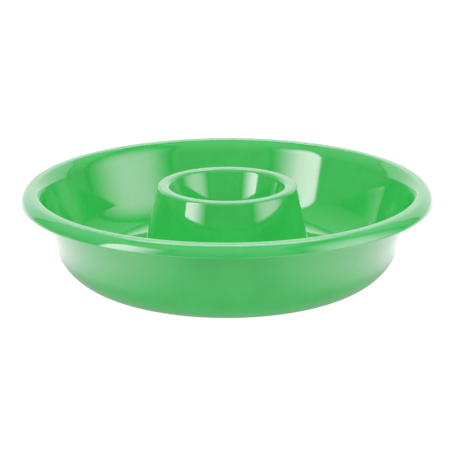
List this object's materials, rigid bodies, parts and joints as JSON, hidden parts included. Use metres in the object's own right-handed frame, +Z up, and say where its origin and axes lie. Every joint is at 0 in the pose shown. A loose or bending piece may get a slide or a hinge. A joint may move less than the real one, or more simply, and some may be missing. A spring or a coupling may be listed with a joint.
{
  "type": "chip and dip bowl",
  "caption": "Round glossy plastic serving bowl with a wide rolled lip and a raised hollow centre collar that holds a lift-out dip cup.",
  "frame": {"origin": "on the axis of the bowl, in the plane of the standing ring", "axes": "+Z up along the axis, out of the mouth; the bowl is round, so +X and +Y are free"},
  "size_m": [0.32, 0.32, 0.0728],
  "materials": {
    "bowl_plastic": "polished moulded plastic, solid apple green",
    "cup_plastic": "polished moulded plastic, solid apple green"
  },
  "bodies": {
    "bowl": {"chip_bowl": "bowl_plastic"},
    "cup": {"dip_cup": "cup_plastic"}
  },
  "joints": [
    {"name": "dip_cup_lift", "type": "slide", "parent": "bowl", "child": "cup", "axis": [0, 0, 1], "range_m": [0, 0.07]}
  ]
}
